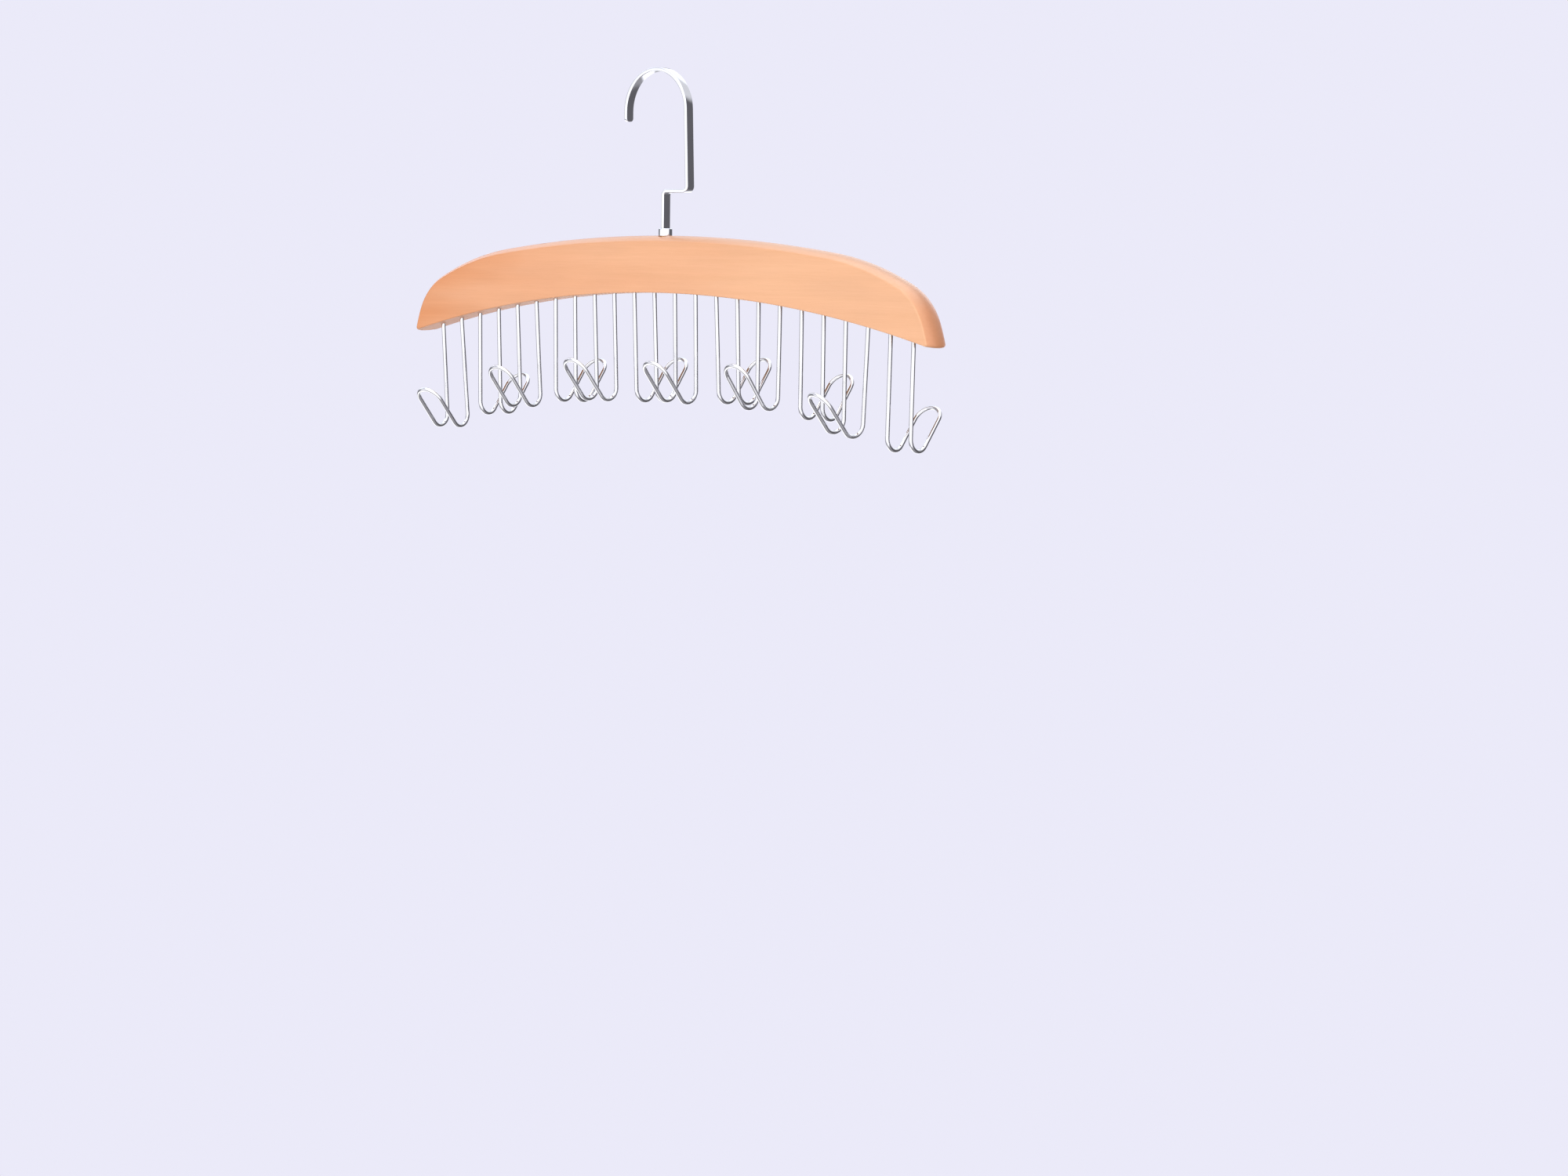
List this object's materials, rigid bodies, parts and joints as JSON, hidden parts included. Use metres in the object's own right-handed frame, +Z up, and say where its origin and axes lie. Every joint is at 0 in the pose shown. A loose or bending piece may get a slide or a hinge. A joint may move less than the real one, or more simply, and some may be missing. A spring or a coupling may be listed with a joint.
{
  "type": "tank top hanger",
  "caption": "Arched flat wooden hanger bar under a flat chrome swivel hook, with a row of bent wire J-hooks facing front and back in turn for tank tops, camisoles, bras, belts and bags.",
  "frame": {"origin": "where a rail touches the inner top of the flat hook", "axes": "+X along the bar, towards the side that the hook's jog steps to; -Y is the front; +Z up, so the bar hangs below the origin"},
  "size_m": [0.391, 0.0586, 0.2027],
  "materials": {
    "pale_wood": "satin clear lacquer over fine straight grain",
    "chrome": "polished",
    "bright_wire": "bright plated wire",
    "bearing_brass": "machined",
    "zinc_steel": "zinc plated"
  },
  "bodies": {
    "hook": {"swivel_hook": "chrome", "hook_collar": "chrome", "lock_nut": "zinc_steel"},
    "bar": {"wooden_bar": "pale_wood", "pivot_sleeve": "bearing_brass", "thrust_washer": "zinc_steel", "wire_hook_01": "bright_wire", "wire_hook_02": "bright_wire", "wire_hook_03": "bright_wire", "wire_hook_04": "bright_wire", "wire_hook_05": "bright_wire", "wire_hook_06": "bright_wire", "wire_hook_07": "bright_wire", "wire_hook_08": "bright_wire", "wire_hook_09": "bright_wire", "wire_hook_10": "bright_wire", "wire_hook_11": "bright_wire", "wire_hook_12": "bright_wire"}
  },
  "joints": [
    {"name": "hook_swivel", "type": "hinge", "parent": "hook", "child": "bar", "pos_m": [0.0062, 0, -0.089], "axis": [0, 0, 1], "continuous": true}
  ]
}
